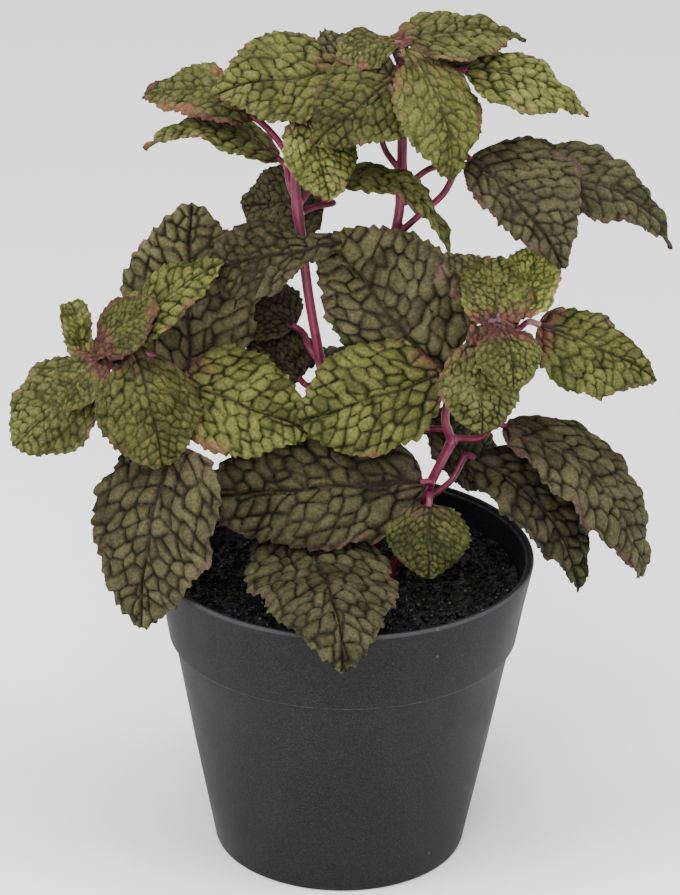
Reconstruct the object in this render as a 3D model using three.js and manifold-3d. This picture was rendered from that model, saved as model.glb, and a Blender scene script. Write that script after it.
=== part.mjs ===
// A potted mint plant: four slim stems in a round nursery pot, with quilted, toothed leaves
// that arch outwards in pairs and rosettes. The stems and their leaf stalks are moulded in one
// piece, and each leaf is a separate blade on the end of its stalk.
// Millimetres, +Z up. The origin is the centre of the pot's underside. -Y is the front.
import * as THREE from "three";
import { mergeVertices } from "three/addons/utils/BufferGeometryUtils.js";
import Module from "manifold-3d";

const wasm = await Module();
wasm.setup();

// ---------------------------------------------------------------- driving dimensions

const CLEARANCE = 0.3; // between pieces that touch

const POT_HEIGHT = 75.5;
const POT_RIM_RADIUS = 44.9;
const POT_FOOT_RADIUS = 30;
const POT_WALL = 1.7;
const POT_FLOOR = 2.5;
const COLLAR_HEIGHT = 20.8; // the wider band below the rim
const COLLAR_FLARE = 3.6; // how much the collar widens from its lower edge to the rim
const COLLAR_STEP = 1.3; // how far its lower edge stands out from the body
const COLLAR_ROUND = 0.8; // height of the rounding of that edge
const SHOULDER_DEPTH = 1.8; // how far below the collar the inside narrows to the body
const LIP_WIDTH = 2; // the wall's thickness at the rim
const LIP_ROUND = 1.4; // height of the rounded top of the rim
const FOOT_ROUND = 1.2;
const POT_SIDES = 52;

const SOIL_TOP = 68.8;
const SOIL_ROUGHNESS = 0.55;
const SOIL_RINGS = 6;
const SOIL_SIDES = 30;
const ROOT_DEPTH = 11.5; // how deep a stem stands in its hole in the soil
const ROOT_PLAY = 0.7; // between the stem and the wall of that hole
const ROOT_RISE = 1.2; // how far over the soil a stem stands upright
const HOLE_SIDES = 14;
const SOIL_WALL_GAP = 0.45; // from the soil's corners to the pot, whose flats stand further in

const STEM_RADIUS = 1.2;
const BRANCH_RADIUS = 1;
const STALK_RADIUS = 0.75;
const STEM_SIDES = 8;
const STALK_SIDES = 6;
const STEM_STEP = 10; // length of one straight piece of a bent stem
const STALK_STEP = 6;
const STALK_RUN_IN = 2.2; // the last stretch of a stalk, in line with its leaf
const LEAF_START = 0.02; // share of the leaf's length that gives its direction there

const LEAF_THICKNESS = 0.7;
const LEAF_BASE_HALF_WIDTH = 0.9;
const LEAF_TIP_HALF_WIDTH = 0.5;
const TOOTH = 0.55; // how far a tooth of the edge stands out of the leaf's outline
const NOTCH = 0.45; // how far the cut between two teeth goes in
const MOST_TOOTH = 0.25; // the largest tooth or cut, as a share of the half width there
const TOOTH_PITCH = 4.2; // length of leaf edge for one tooth
const LEAST_ROWS = 5; // fewest and most side veins on each half of a leaf
const MOST_ROWS = 10;
const QUILT = 0.4; // height of the blisters between the side veins
const QUILT_PLACE = 0.52; // where they are, as a share of the way from midrib to edge
const MIDRIB_GROOVE = 0.3;

const POT_BLACK = 0x37383b;
const SOIL_BLACK = 0x17161a;
const STEM_MAROON = 0x873255;
const LEAF_YOUNG = 0x8c9646;
const LEAF_GREEN = 0x6c7238;
const LEAF_OLD = 0x4f4c38;

// ---------------------------------------------------------------- helpers

const plant = new THREE.Group();

function material(color, roughness) {
  return new THREE.MeshStandardMaterial({ color, roughness, metalness: 0 });
}

function addMesh(name, geometry, color, roughness) {
  const mesh = new THREE.Mesh(geometry, material(color, roughness));
  mesh.name = name;
  plant.add(mesh);
  return mesh;
}

function toSolid(geometry) {
  const bare = new THREE.BufferGeometry();
  const source = geometry.index ? geometry.toNonIndexed() : geometry;
  bare.setAttribute("position", source.getAttribute("position"));
  const merged = mergeVertices(bare, 1e-3);
  return new wasm.Manifold(
    new wasm.Mesh({
      numProp: 3,
      vertProperties: merged.attributes.position.array,
      triVerts: new Uint32Array(merged.index.array),
    }),
  );
}

function toGeometry(solid) {
  const mesh = solid.getMesh();
  const geometry = new THREE.BufferGeometry();
  geometry.setAttribute("position", new THREE.BufferAttribute(mesh.vertProperties, 3));
  geometry.setIndex(new THREE.BufferAttribute(mesh.triVerts, 1));
  return geometry;
}

// The same row of numbers between 0 and 1 each time, from a start value.
function seededRandom(seed) {
  let state = seed;
  return () => {
    state = (state * 16807) % 2147483647;
    return state / 2147483647;
  };
}

// ---------------------------------------------------------------- pot

const collarFoot = POT_HEIGHT - COLLAR_HEIGHT;
const collarFootRadius = POT_RIM_RADIUS - COLLAR_FLARE;
const bodyTopRadius = collarFootRadius - COLLAR_STEP;

// The inside of the pot as radius and height, from its lip down to its floor.
const INSIDE = [
  [POT_RIM_RADIUS - LIP_WIDTH, POT_HEIGHT - LIP_ROUND],
  [collarFootRadius - POT_WALL, collarFoot],
  [bodyTopRadius - POT_WALL, collarFoot - SHOULDER_DEPTH],
  [POT_FOOT_RADIUS - POT_WALL, POT_FLOOR],
];

// Thin-walled, tapered, with a wide collar and a rounded lip. The underside is flat.
function potGeometry() {
  const lipSide = LIP_ROUND / 5;
  const profile = [
    [0, 0],
    [POT_FOOT_RADIUS - FOOT_ROUND, 0],
    [POT_FOOT_RADIUS - FOOT_ROUND / 4, FOOT_ROUND / 3],
    [POT_FOOT_RADIUS, FOOT_ROUND],
    [bodyTopRadius, collarFoot - COLLAR_ROUND],
    [collarFootRadius - COLLAR_ROUND / 4, collarFoot],
    [collarFootRadius, collarFoot + COLLAR_ROUND],
    [POT_RIM_RADIUS, POT_HEIGHT - LIP_ROUND],
    [POT_RIM_RADIUS - lipSide, POT_HEIGHT - lipSide],
    [POT_RIM_RADIUS - LIP_WIDTH / 2, POT_HEIGHT],
    [POT_RIM_RADIUS - LIP_WIDTH + lipSide, POT_HEIGHT - lipSide],
    ...INSIDE,
    [0, POT_FLOOR],
  ];
  const points = profile.map(([radius, height]) => new THREE.Vector2(radius, height));
  return new THREE.LatheGeometry(points, POT_SIDES).rotateX(Math.PI / 2);
}

// ---------------------------------------------------------------- soil

// How wide the inside of the pot is at a height, for the soil that fills it.
function innerRadius(height) {
  const below = INSIDE.findIndex((corner) => corner[1] <= height);
  const [lowRadius, low] = INSIDE[below];
  const [highRadius, high] = INSIDE[below - 1];
  return THREE.MathUtils.lerp(lowRadius, highRadius, (height - low) / (high - low));
}

// The plug of soil: uneven on top, and close to the pot's wall and floor all round. Its
// levels run from the rim of the soil down the wall to the floor.
function soilGeometry() {
  const random = seededRandom(1207);
  const levels = [SOIL_TOP, collarFoot, collarFoot - SHOULDER_DEPTH, POT_FLOOR + CLEARANCE];
  const positions = [0, 0, SOIL_TOP];
  const rings = [];
  const addRing = (radius, heightAt) => {
    const start = positions.length / 3;
    for (let side = 0; side < SOIL_SIDES; side += 1) {
      const angle = (side / SOIL_SIDES) * 2 * Math.PI;
      positions.push(radius * Math.cos(angle), radius * Math.sin(angle), heightAt(side));
    }
    rings.push(start);
  };
  const topRadius = innerRadius(SOIL_TOP) - SOIL_WALL_GAP;
  for (let ring = 1; ring < SOIL_RINGS; ring += 1) {
    addRing((topRadius * ring) / SOIL_RINGS, () => SOIL_TOP + SOIL_ROUGHNESS * (2 * random() - 1));
  }
  levels.forEach((height) => addRing(innerRadius(height) - SOIL_WALL_GAP, () => height));
  positions.push(0, 0, POT_FLOOR + CLEARANCE);

  const triangles = [];
  const last = positions.length / 3 - 1;
  for (let side = 0; side < SOIL_SIDES; side += 1) {
    const next = (side + 1) % SOIL_SIDES;
    triangles.push(0, rings[0] + side, rings[0] + next);
    for (let ring = 1; ring < rings.length; ring += 1) {
      const [inner, outer] = [rings[ring - 1], rings[ring]];
      triangles.push(inner + side, outer + side, outer + next);
      triangles.push(inner + side, outer + next, inner + next);
    }
    const bottom = rings[rings.length - 1];
    triangles.push(last, bottom + next, bottom + side);
  }
  const geometry = new THREE.BufferGeometry();
  geometry.setAttribute("position", new THREE.Float32BufferAttribute(positions, 3));
  geometry.setIndex(triangles);
  return geometry;
}

// A plain round hole in the soil for the foot of each stem.
function soilWithHoles(feet) {
  const depth = ROOT_DEPTH + CLEARANCE;
  const radius = STEM_RADIUS + ROOT_PLAY;
  return feet.reduce((soil, [x, y]) => {
    const cutter = new THREE.CylinderGeometry(radius, radius, 2 * depth, HOLE_SIDES);
    cutter.rotateX(Math.PI / 2).translate(x, y, SOIL_TOP);
    return soil.subtract(toSolid(cutter));
  }, toSolid(soilGeometry()));
}

// ---------------------------------------------------------------- leaves

const UP = new THREE.Vector3(0, 0, 1);

// How a leaf is shaped where its own line doesn't say otherwise. roll turns the blade about
// its length, in degrees. arch lifts its middle, highest at the share peak of its length, and
// cup lifts its edges. It is widest at the share wide; root and point say how full its two
// ends are. lean makes one half wider, and sweep bends it sideways.
const PLAIN_LEAF = {
  roll: 0,
  arch: 2,
  peak: 0.5,
  cup: -1,
  wide: 0.42,
  root: 0.5,
  point: 0.8,
  lean: 0,
  sweep: 0,
};

// Half of the leaf's width along its length, as a share of the greatest.
function outline(leaf, u) {
  const share = Math.min(Math.max(u, 0), 1) ** (Math.log(0.5) / Math.log(leaf.wide));
  const height = Math.max(Math.sin(Math.PI * share), 0);
  return height ** (u < leaf.wide ? leaf.root : leaf.point);
}

// The point at the share u of the leaf's length, a distance across from its midrib (to the
// right is positive), and lifted above the blade's middle layer.
function leafPoint(leaf, u, across, lift) {
  const base = new THREE.Vector3(...leaf.base);
  const along = new THREE.Vector3(...leaf.tip).sub(base);
  const length = along.length();
  along.normalize();
  const level = new THREE.Vector3().crossVectors(along, UP).normalize();
  const raised = new THREE.Vector3().crossVectors(level, along);
  const roll = THREE.MathUtils.degToRad(leaf.roll);
  const side = level.clone().multiplyScalar(Math.cos(roll)).addScaledVector(raised, Math.sin(roll));
  const up = new THREE.Vector3().crossVectors(side, along);

  const power = Math.log(0.5) / Math.log(leaf.peak);
  const bent = Math.max(u, 0.001) ** power;
  const rise = leaf.arch * 4 * bent * (1 - bent);
  const slope = (leaf.arch * 4 * (1 - 2 * bent) * power * bent) / Math.max(u, 0.001) / length;
  const forward = along.clone().addScaledVector(up, slope).normalize();
  const outward = new THREE.Vector3().crossVectors(side, forward);

  const edgeShare = Math.abs(across) / (leaf.width / 2);
  return base
    .addScaledVector(along, u * length)
    .addScaledVector(up, rise)
    .addScaledVector(side, across + leaf.sweep * 4 * u * (1 - u))
    .addScaledVector(outward, leaf.cup * edgeShare ** 2 + lift);
}

// A thin blade with a toothed edge. Each half has a row of points on its middle, high between
// two side veins and low on them, and an edge with two points for each of those rows. The
// lower face has the same triangles as the upper one, a thickness below it.
function leafGeometry(leaf) {
  const length = new THREE.Vector3(...leaf.tip).distanceTo(new THREE.Vector3(...leaf.base));
  const rows = THREE.MathUtils.clamp(Math.round(length / TOOTH_PITCH), LEAST_ROWS, MOST_ROWS);
  const half = leaf.width / 2;
  const halfWidth = (u, hand) => {
    const least = THREE.MathUtils.lerp(LEAF_BASE_HALF_WIDTH, LEAF_TIP_HALF_WIDTH, u);
    return Math.max(half * outline(leaf, u) * (1 + leaf.lean * hand), least);
  };
  const upper = [];
  const lower = [];
  const addPoint = (u, across, relief) => {
    upper.push(leafPoint(leaf, u, across, relief + LEAF_THICKNESS / 2));
    lower.push(leafPoint(leaf, u, across, relief - LEAF_THICKNESS / 2));
    return upper.length - 1;
  };

  const rib = [];
  for (let row = 0; row <= rows; row += 1) {
    const inside = row > 0 && row < rows;
    rib.push(addPoint(row / rows, 0, inside ? -MIDRIB_GROOVE : 0));
  }
  const halves = [-1, 1].map((hand) => {
    const middle = [];
    const edge = [];
    for (let row = 0; row <= rows; row += 1) {
      const inside = row > 0 && row < rows;
      const blister = row % 2 === 1 ? QUILT : -QUILT / 2;
      const across = QUILT_PLACE * hand * halfWidth(row / rows, hand);
      middle.push(addPoint(row / rows, across, inside ? blister : 0));
    }
    for (let step = 0; step <= 2 * rows; step += 1) {
      const u = step / (2 * rows);
      const inside = step > 0 && step < 2 * rows;
      const reach = halfWidth(u, hand);
      const most = Math.min(step % 2 === 1 ? TOOTH : NOTCH, MOST_TOOTH * reach);
      const tooth = step % 2 === 1 ? most : -most;
      edge.push(addPoint(u, hand * (reach + (inside ? tooth : 0)), 0));
    }
    return { hand, middle, edge };
  });

  const faces = [];
  halves.forEach(({ hand, middle, edge }) => {
    const add = (a, b, c) => faces.push(hand > 0 ? [a, b, c] : [a, c, b]);
    for (let row = 0; row < rows; row += 1) {
      add(rib[row], middle[row], middle[row + 1]);
      add(rib[row], middle[row + 1], rib[row + 1]);
      add(middle[row], edge[2 * row], edge[2 * row + 1]);
      add(middle[row], edge[2 * row + 1], middle[row + 1]);
      add(middle[row + 1], edge[2 * row + 1], edge[2 * row + 2]);
    }
  });

  const [left, right] = halves;
  const loop = [
    ...[left.edge[0], left.middle[0], rib[0], right.middle[0]],
    ...right.edge,
    ...[right.middle[rows], rib[rows], left.middle[rows]],
    ...left.edge.slice(1).reverse(),
  ];
  const below = upper.length;
  const triangles = faces.flatMap(([a, b, c]) => [a, b, c, below + a, below + c, below + b]);
  loop.forEach((a, place) => {
    const b = loop[(place + 1) % loop.length];
    triangles.push(below + a, below + b, b, below + a, b, a);
  });
  const geometry = new THREE.BufferGeometry().setFromPoints([...upper, ...lower]);
  geometry.setIndex(triangles);
  return geometry;
}

// ---------------------------------------------------------------- stems and stalks

function tube(points, radius, sides, stepLength) {
  const path = new THREE.CatmullRomCurve3(points, false, "centripetal");
  const section = new THREE.Shape();
  for (let side = 0; side < sides; side += 1) {
    const angle = (side / sides) * 2 * Math.PI;
    const [x, y] = [radius * Math.cos(angle), radius * Math.sin(angle)];
    if (side === 0) section.moveTo(x, y);
    else section.lineTo(x, y);
  }
  section.closePath();
  const steps = Math.max(2, Math.round(path.getLength() / stepLength));
  return toSolid(
    new THREE.ExtrudeGeometry(section, { extrudePath: path, steps, bevelEnabled: false }),
  );
}

// A stalk runs from the stem to its leaf, and its last stretch is in line with the leaf.
function stalk(leaf) {
  const base = new THREE.Vector3(...leaf.base);
  const back = base.clone().sub(leafPoint(leaf, LEAF_START, 0, 0)).normalize();
  const points = [
    ...leaf.from.map((point) => new THREE.Vector3(...point)),
    base.clone().addScaledVector(back, STALK_RUN_IN),
    base.clone().addScaledVector(back, CLEARANCE),
  ];
  return tube(points, STALK_RADIUS, STALK_SIDES, STALK_STEP);
}

// One stem with its side branches and all its leaf stalks, in one piece, and its leaves, which
// are numbered in the order in which they are given.
function addStem(name, { foot, path, branches = [], leaves }) {
  const [x, y] = foot;
  const root = [SOIL_TOP - ROOT_DEPTH, SOIL_TOP - ROOT_DEPTH / 2, SOIL_TOP + ROOT_RISE];
  const points = [...root.map((height) => [x, y, height]), ...path];
  const vectors = (list) => list.map((point) => new THREE.Vector3(...point));
  let solid = tube(vectors(points), STEM_RADIUS, STEM_SIDES, STEM_STEP);
  branches.forEach((branch) => {
    solid = solid.add(tube(vectors(branch), BRANCH_RADIUS, STEM_SIDES, STALK_STEP));
  });
  leaves.forEach((line, place) => {
    const { color, ...rest } = line;
    const leaf = { ...PLAIN_LEAF, ...rest };
    solid = solid.add(stalk(leaf));
    addMesh(`leaf_${name}_${place + 1}`, leafGeometry(leaf), color, 0.75);
  });
  addMesh(`stem_${name}`, toGeometry(solid), STEM_MAROON, 0.45);
}

// ---------------------------------------------------------------- the plant

const FEET = {
  tall_left: [3, 4],
  tall_right: [7.5, 6.5],
  low_right: [11, 0],
  low_left: [-1.5, -2],
};

addMesh("pot", potGeometry(), POT_BLACK, 0.6);
addMesh("soil", toGeometry(soilWithHoles(Object.values(FEET))), SOIL_BLACK, 0.9);

// The tall stem on the left. Its crown has two bright leaves to the left, with one under them,
// one that hangs towards the front, and a dark one behind. A long narrow leaf arches to the
// right below the crown, and older leaves stand out halfway up.
addStem("tall_left", {
  foot: FEET.tall_left,
  path: [[-6, 2, 122], [-9, 1, 139], [-11, 0, 154.5], [-12.5, -1, 169.5], [-11, 1, 183.5]],
  leaves: [
    { from: [[-13, 0, 172.5], [-16.5, 1, 178]], base: [-22.5, 3, 183], tip: [-48, 12, 184.5],
      width: 17, roll: 22, arch: 4, cup: 0, lean: 0.1, color: LEAF_GREEN },
    { from: [[-11, 1, 183], [-7, 3, 186]], base: [-3.5, 4, 193], tip: [-31.5, -4, 190.5],
      width: 24, roll: 38, arch: 3, cup: 0, wide: 0.46, point: 1, color: LEAF_YOUNG },
    { from: [[-11, 1, 183]], base: [-10.5, -5, 186], tip: [-5, -14, 169.5],
      width: 19.5, cup: -2, lean: -0.12, color: LEAF_YOUNG },
    { from: [[-12, 0, 163], [-14, 1.5, 167.5]], base: [-16.5, 4, 172.5], tip: [-47.5, 4, 175],
      width: 21, roll: 4, arch: 6, wide: 0.4, point: 1.3, lean: 0.2, color: LEAF_GREEN },
    { from: [[-11.5, 0, 161], [-8, 4, 161]], base: [-6, 9, 160], tip: [-25, 17, 156],
      width: 18, roll: 65, arch: 1, cup: 0, point: 0.6, root: 0.4, color: LEAF_OLD },
    { from: [[-11.5, 0, 163.5]], base: [-6.5, 1, 168], tip: [23, -10, 156],
      width: 15, roll: -2, arch: 9, cup: 0, wide: 0.35, point: 0.6, color: LEAF_GREEN },
    { from: [[-10.7, 0, 152], [-5.5, -3, 155]], base: [-6.5, -6.6, 155.2], tip: [-33, 0, 146.5],
      width: 19, roll: 50, arch: 1, wide: 0.55, point: 0.65, root: 0.9, color: LEAF_OLD },
    { from: [[-6.5, 2, 123], [-9, 4, 126]], base: [-12.5, 10, 128.5], tip: [-26.5, 20, 132],
      width: 16, roll: 35, arch: 1, cup: 0, color: LEAF_OLD },
    { from: [[-5.5, 2, 119]], base: [-11, 7, 116.5], tip: [-23, 12, 124.5],
      width: 20, roll: 35, arch: 1, cup: 0, color: LEAF_OLD },
    { from: [[-6, 2, 120], [-5, 9, 119]], base: [-4, 18, 117], tip: [-19, 47, 98],
      width: 26, arch: 4, cup: -2, color: LEAF_OLD },
  ],
});

// The tall stem on the right carries the top of the plant: a pair that spreads left and right,
// a broad leaf that hangs towards the front, bright leaves to the sides, and a heavy dark pair
// that hangs over to the right.
addStem("tall_right", {
  foot: FEET.tall_right,
  path: [[9.5, 6, 112], [10.5, 5, 153], [11.5, 4, 163], [11.5, 4, 182.5], [11, 4, 197]],
  leaves: [
    { from: [[11, 4, 195]], base: [10, 5, 200.5], tip: [-3.5, 0, 198.5],
      width: 11.5, roll: 22, arch: 2, wide: 0.55, point: 0.6, color: LEAF_GREEN },
    { from: [[11, 4, 195]], base: [11.5, 7, 200], tip: [39.5, 17, 197.5],
      width: 23, roll: -8, arch: 3, wide: 0.36, point: 1.35, lean: 0.1, color: LEAF_GREEN },
    { from: [[11, 4, 194]], base: [13.5, -2, 198.5], tip: [22.5, -12, 175],
      width: 25, roll: 4, arch: 3, point: 0.7, sweep: -1, color: LEAF_YOUNG },
    { from: [[11.5, 4, 187.5]], base: [9.5, -3.5, 194.5], tip: [-8, -17, 184],
      width: 24, roll: 28, wide: 0.36, color: LEAF_YOUNG },
    { from: [[11.5, 4, 187.5], [17.5, 5, 190.5]], base: [25.5, 7, 193.5], tip: [54, 7, 183.5],
      width: 20, roll: -18, arch: 4, wide: 0.42, root: 0.7, point: 1, lean: 0.1, color: LEAF_YOUNG },
    { from: [[11.5, 4, 170], [8, 6, 174]], base: [6, 9, 178], tip: [-7, 20, 198],
      width: 23, roll: 25, cup: 0, color: LEAF_OLD },
    { from: [[11.5, 4, 165], [18, 6, 170]], base: [30, 16, 166.5], tip: [74, 14, 148.5],
      width: 26, roll: -20, arch: 9, peak: 0.6, cup: -2, wide: 0.5, point: 1.2, lean: -0.25,
      color: LEAF_OLD },
    { from: [[11.5, 5, 154.5], [16, 4, 159.5], [21.5, 3, 165.5]], base: [27, 2, 174],
      tip: [48.5, -12, 153.5], width: 24, roll: -35, arch: 6, lean: -0.45, color: LEAF_OLD },
    { from: [[11, 4, 190]], base: [17, 12, 193], tip: [30, 31, 182],
      width: 20, arch: 3, color: LEAF_GREEN },
    { from: [[9.5, 6, 125]], base: [7, 13, 134], tip: [12, 46, 112],
      width: 28, arch: 4, cup: -2, color: LEAF_OLD },
  ],
});

// The low stem on the right. A branch of it carries a rosette of five small bright leaves and
// a broad one to the left, and a large dark leaf that leans up to the left from behind them.
// The stem itself carries a dark drooping pair to the right, a wide dark leaf across the front,
// and a small bright one that hangs over the soil.
addStem("low_right", {
  foot: FEET.low_right,
  path: [[14.5, -1, 79], [18, -2, 89], [20, -2, 94.5], [25, -2, 106]],
  branches: [[[24.7, -2, 105.3], [23, -3, 111], [24, -1, 117.5], [28.5, -1, 127.5], [34, -4, 135.5]]],
  leaves: [
    { from: [[33.5, -3.7, 135]], base: [34, -6, 137], tip: [32.5, 1, 150],
      width: 16, arch: 1, cup: 0, root: 0.35, point: 0.35, color: LEAF_YOUNG },
    { from: [[33, -3.5, 134.5]], base: [37.5, 1, 135.5], tip: [44.5, 11, 149],
      width: 18, arch: 1, cup: 0, root: 0.45, point: 0.4, color: LEAF_YOUNG },
    { from: [[33.5, -3.7, 135]], base: [35, -9, 135.5], tip: [38, -15.5, 125],
      width: 17, point: 0.6, color: LEAF_YOUNG },
    { from: [[31, -2.5, 131.5]], base: [30, -9, 133], tip: [31, -17, 114],
      width: 19, point: 0.6, color: LEAF_GREEN },
    { from: [[33.5, -3.7, 134.7], [38.5, -2, 133.5]], base: [44, 2, 133.5], tip: [71.5, 0, 120.5],
      width: 22, roll: -34, arch: 2, cup: -2, point: 0.9, lean: 0.15, color: LEAF_YOUNG },
    { from: [[24.8, -1, 119]], base: [22, -3, 122.5], tip: [-10.5, -12, 114],
      width: 26, roll: 65, arch: 1, wide: 0.5, point: 0.6, color: LEAF_YOUNG },
    { from: [[30, -2, 130], [33.5, 4, 133.5]], base: [32, 12.5, 132], tip: [13, 17.5, 140.5],
      width: 26, roll: 35, arch: 1, cup: 0, lean: -0.15, color: LEAF_OLD },
    { from: [[25, -2, 106], [31.5, 0, 105.5]], base: [37, 2, 107.5], tip: [69.5, -8, 74],
      width: 28, roll: -10, arch: 9.5, cup: -2, wide: 0.5, root: 0.38, point: 0.8, lean: -0.15,
      color: LEAF_OLD },
    { from: [[19, -2, 90], [25, -1, 95]], base: [30, 0, 100], tip: [55.5, -14, 73],
      width: 25, roll: -18, arch: 8, cup: -2, point: 0.9, lean: -0.35, color: LEAF_OLD },
    { from: [[18.5, -2, 90]], base: [18, -5, 96], tip: [-33.5, -11, 94],
      width: 28, roll: 60, arch: 3, root: 0.5, point: 0.5, color: LEAF_OLD },
    { from: [[17.5, -2, 88]], base: [19.5, -13, 94], tip: [19.5, -21, 79.5],
      width: 19, arch: 1, point: 0.6, color: LEAF_YOUNG },
    { from: [[24, -2, 108.5]], base: [19, 8, 103], tip: [39, 17, 88.5],
      width: 21, roll: -40, arch: 2, color: LEAF_OLD },
    { from: [[24.8, -1, 119]], base: [22.1, 2, 120.3], tip: [-4.5, 3, 154],
      width: 31, roll: 86, arch: 3, cup: -0.5, wide: 0.5, root: 0.55, point: 0.5, lean: 0.2,
      color: LEAF_OLD },
  ],
});

// The low stem on the left leans far out. Its end carries a rosette of six leaves, with two
// more towards the middle of the plant. A long leaf hangs over the pot's side, and the lowest
// leaf lies over the front of the rim.
addStem("low_left", {
  foot: FEET.low_left,
  path: [[-4.5, -1, 75], [-13, 2, 81.5], [-26.5, 3, 99.5], [-39.5, 0, 119.5], [-47, -3, 126.5],
    [-55.5, -6, 127]],
  leaves: [
    { from: [[-54, -5.5, 127]], base: [-61.2, -5, 125.2], tip: [-64.2, -1, 138],
      width: 8.2, arch: 1, cup: 0, wide: 0.5, root: 0.25, point: 0.12, color: LEAF_GREEN },
    { from: [[-54, -5.5, 127]], base: [-56, -9, 130.5], tip: [-43.5, -9, 141.5],
      width: 17, roll: -30, point: 0.6, color: LEAF_YOUNG },
    { from: [[-52, -5, 127]], base: [-53, -6, 130.5], tip: [-29, -5, 150.5],
      width: 18, roll: -24, cup: 0, color: LEAF_YOUNG },
    { from: [[-54.5, -5.7, 127]], base: [-56.5, -10, 127], tip: [-67, -17, 118.5],
      width: 13, roll: 25, arch: 1, cup: 0, color: LEAF_YOUNG },
    { from: [[-54, -5.5, 127]], base: [-57.5, -5, 123], tip: [-76, -12, 106.5],
      width: 23, roll: 30, arch: 1, cup: 0, wide: 0.5, point: 0.55, color: LEAF_GREEN },
    { from: [[-52, -5, 127]], base: [-49, -12, 128.5], tip: [-42, -22, 107],
      width: 27, wide: 0.5, root: 0.36, point: 0.6, color: LEAF_YOUNG },
    { from: [[-39, 0, 119]], base: [-37, 5, 118.5], tip: [-37, 17, 156],
      width: 32, cup: 0, point: 0.7, color: LEAF_OLD },
    { from: [[-40.5, -0.3, 120.5]], base: [-38, -3, 119], tip: [-7.5, -9, 110],
      width: 26, roll: -50, wide: 0.38, color: LEAF_YOUNG },
    { from: [[-30.5, 2, 105.5], [-35, -6, 107]], base: [-39.5, -13, 108],
      tip: [-46.5, -28, 68.5], width: 32, roll: -4, root: 0.36, point: 0.7, sweep: 1, color: LEAF_OLD },
    { from: [[-5.5, -0.5, 75.8], [-9, -1, 80]], base: [-9.5, -2.5, 83.5], tip: [0.5, -52, 71],
      width: 34, arch: 6, peak: 0.7, cup: -2, wide: 0.42, point: 0.62, color: LEAF_OLD },
    { from: [[-36.5, 1, 114]], base: [-38, 8, 113], tip: [-44, 38, 104],
      width: 24, arch: 3, cup: -2, color: LEAF_OLD },
    { from: [[-24, 3, 96.5]], base: [-14, 10, 100], tip: [-27, 41, 88],
      width: 28, arch: 4, cup: -2, color: LEAF_OLD },
  ],
});

export default plant;
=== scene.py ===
import math

import bpy
import numpy as np
from mathutils import Euler, Matrix, Vector, noise


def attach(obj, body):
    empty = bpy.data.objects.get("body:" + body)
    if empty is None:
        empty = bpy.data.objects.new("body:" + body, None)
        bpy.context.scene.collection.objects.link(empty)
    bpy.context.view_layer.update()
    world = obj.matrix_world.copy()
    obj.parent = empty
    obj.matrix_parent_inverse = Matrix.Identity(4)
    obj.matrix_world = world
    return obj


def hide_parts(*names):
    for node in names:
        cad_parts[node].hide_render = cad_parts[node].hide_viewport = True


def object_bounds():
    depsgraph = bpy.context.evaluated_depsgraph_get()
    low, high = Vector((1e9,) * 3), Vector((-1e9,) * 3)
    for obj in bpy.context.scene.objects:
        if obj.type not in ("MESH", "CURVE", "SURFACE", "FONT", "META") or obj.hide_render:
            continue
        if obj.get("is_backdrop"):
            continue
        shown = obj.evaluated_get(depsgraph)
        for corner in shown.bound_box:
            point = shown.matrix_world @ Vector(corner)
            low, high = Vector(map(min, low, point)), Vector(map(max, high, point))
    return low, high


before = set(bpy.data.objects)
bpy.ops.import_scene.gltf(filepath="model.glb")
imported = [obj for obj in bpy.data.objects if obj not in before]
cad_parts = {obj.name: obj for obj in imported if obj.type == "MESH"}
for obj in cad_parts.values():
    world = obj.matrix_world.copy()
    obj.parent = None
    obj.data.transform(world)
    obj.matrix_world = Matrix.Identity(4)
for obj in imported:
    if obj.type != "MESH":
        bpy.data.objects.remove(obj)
cad_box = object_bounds()

# ------------------------------------------------------------------ camera
# A long studio lens about a metre off. It looks down on the plant from the front, and is held
# very slightly askew. Lengths in this file are in millimetres, times MM where Blender has metres.
MM = 0.001
CAMERA_PLACE = (0, -982.1 * MM, 551.9 * MM)
CAMERA_DOWN = math.radians(24.6)
CAMERA_ASIDE = math.radians(-0.08)
CAMERA_ROLL = math.radians(0.98)
LENS_LENGTH = 185.9
SENSOR_WIDTH = 36
NEAREST_VIEW = 50 * MM

camera_data = bpy.data.cameras.new("studio_camera")
camera_data.lens = LENS_LENGTH
camera_data.sensor_width = SENSOR_WIDTH
camera_data.clip_start = NEAREST_VIEW
camera = bpy.data.objects.new("studio_camera", camera_data)
bpy.context.collection.objects.link(camera)
forward = Vector((
    math.sin(CAMERA_ASIDE) * math.cos(CAMERA_DOWN),
    math.cos(CAMERA_ASIDE) * math.cos(CAMERA_DOWN),
    -math.sin(CAMERA_DOWN),
))
level = Vector((math.cos(CAMERA_ASIDE), -math.sin(CAMERA_ASIDE), 0))
upright = level.cross(forward)
right = level * math.cos(CAMERA_ROLL) + upright * math.sin(CAMERA_ROLL)
above = upright * math.cos(CAMERA_ROLL) - level * math.sin(CAMERA_ROLL)
turn = Matrix((right, above, -forward)).transposed().to_4x4()
camera.matrix_world = Matrix.Translation(CAMERA_PLACE) @ turn
bpy.context.scene.camera = camera


# ------------------------------------------------------------------ studio floor and light
# A wide, pale, matte floor under a pale sky. Large soft lamps stand to the left, to the right
# and above, so that shadows are faint and the plastic has long, soft highlights.
FLOOR_SIDE = 9000
FLOOR_BEHIND = 2500
FLOOR_WHITE = (0.95, 0.95, 0.95, 1)
SKY_STRENGTH = 0.5
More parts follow.
